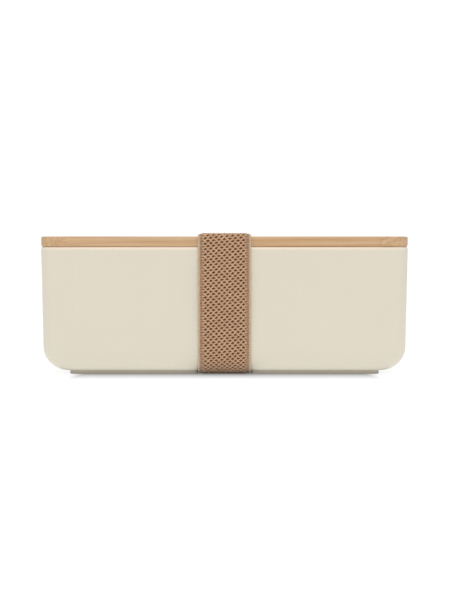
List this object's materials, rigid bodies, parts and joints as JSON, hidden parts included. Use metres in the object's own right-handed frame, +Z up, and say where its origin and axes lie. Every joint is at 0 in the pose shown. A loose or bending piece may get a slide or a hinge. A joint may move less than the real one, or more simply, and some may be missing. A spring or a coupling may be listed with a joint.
{
  "type": "bento lunch box",
  "caption": "Moulded plastic lunch box with a glued bamboo lid, a silicone lid seal, a divider and an elastic mesh band.",
  "frame": {"origin": "middle of the base, on the surface that the box stands on", "axes": "+X along the length, -Y towards the front, +Z up"},
  "size_m": [0.185, 0.1297, 0.0711],
  "materials": {
    "cream_plastic": "fine satin moulded plastic",
    "frosted_plastic": "frosted moulded plastic",
    "silicone": "soft matt silicone",
    "bamboo": "sanded and oiled bamboo",
    "elastic_mesh": "knitted openwork elastic webbing",
    "thread": "twisted polyester thread"
  },
  "bodies": {
    "container": {"container": "cream_plastic"},
    "lid": {"lid_stave_1": "bamboo", "lid_stave_2": "bamboo", "lid_stave_3": "bamboo", "lid_stave_4": "bamboo", "lid_stave_5": "bamboo", "lid_stave_6": "bamboo", "lid_seal": "silicone"},
    "strap": {"strap_lower": "elastic_mesh", "seam_lap": "elastic_mesh", "seam_stitches": "thread"},
    "strap_top": {"strap_upper": "elastic_mesh"},
    "divider": {"divider": "frosted_plastic"}
  },
  "joints": [
    {"name": "lid_lift", "type": "slide", "parent": "container", "child": "lid", "axis": [0, 0, 1], "range_m": [0, 0.045]},
    {"name": "strap_slide", "type": "slide", "parent": "container", "child": "strap", "axis": [1, 0, 0], "range_m": [0, 0.12], "deforming": ["strap_lower"]},
    {"name": "strap_stretch", "type": "slide", "parent": "strap", "child": "strap_top", "axis": [0, 0, 1], "range_m": [0, 0.045], "stiffness_N_per_m": 100, "springref_m": -0.02},
    {"name": "divider_slide", "type": "slide", "parent": "container", "child": "divider", "axis": [1, 0, 0], "range_m": [-0.085, 0.045]}
  ],
  "couplings": [
    {"joint": "strap_stretch", "follows": "lid_lift", "ratio": 1}
  ]
}
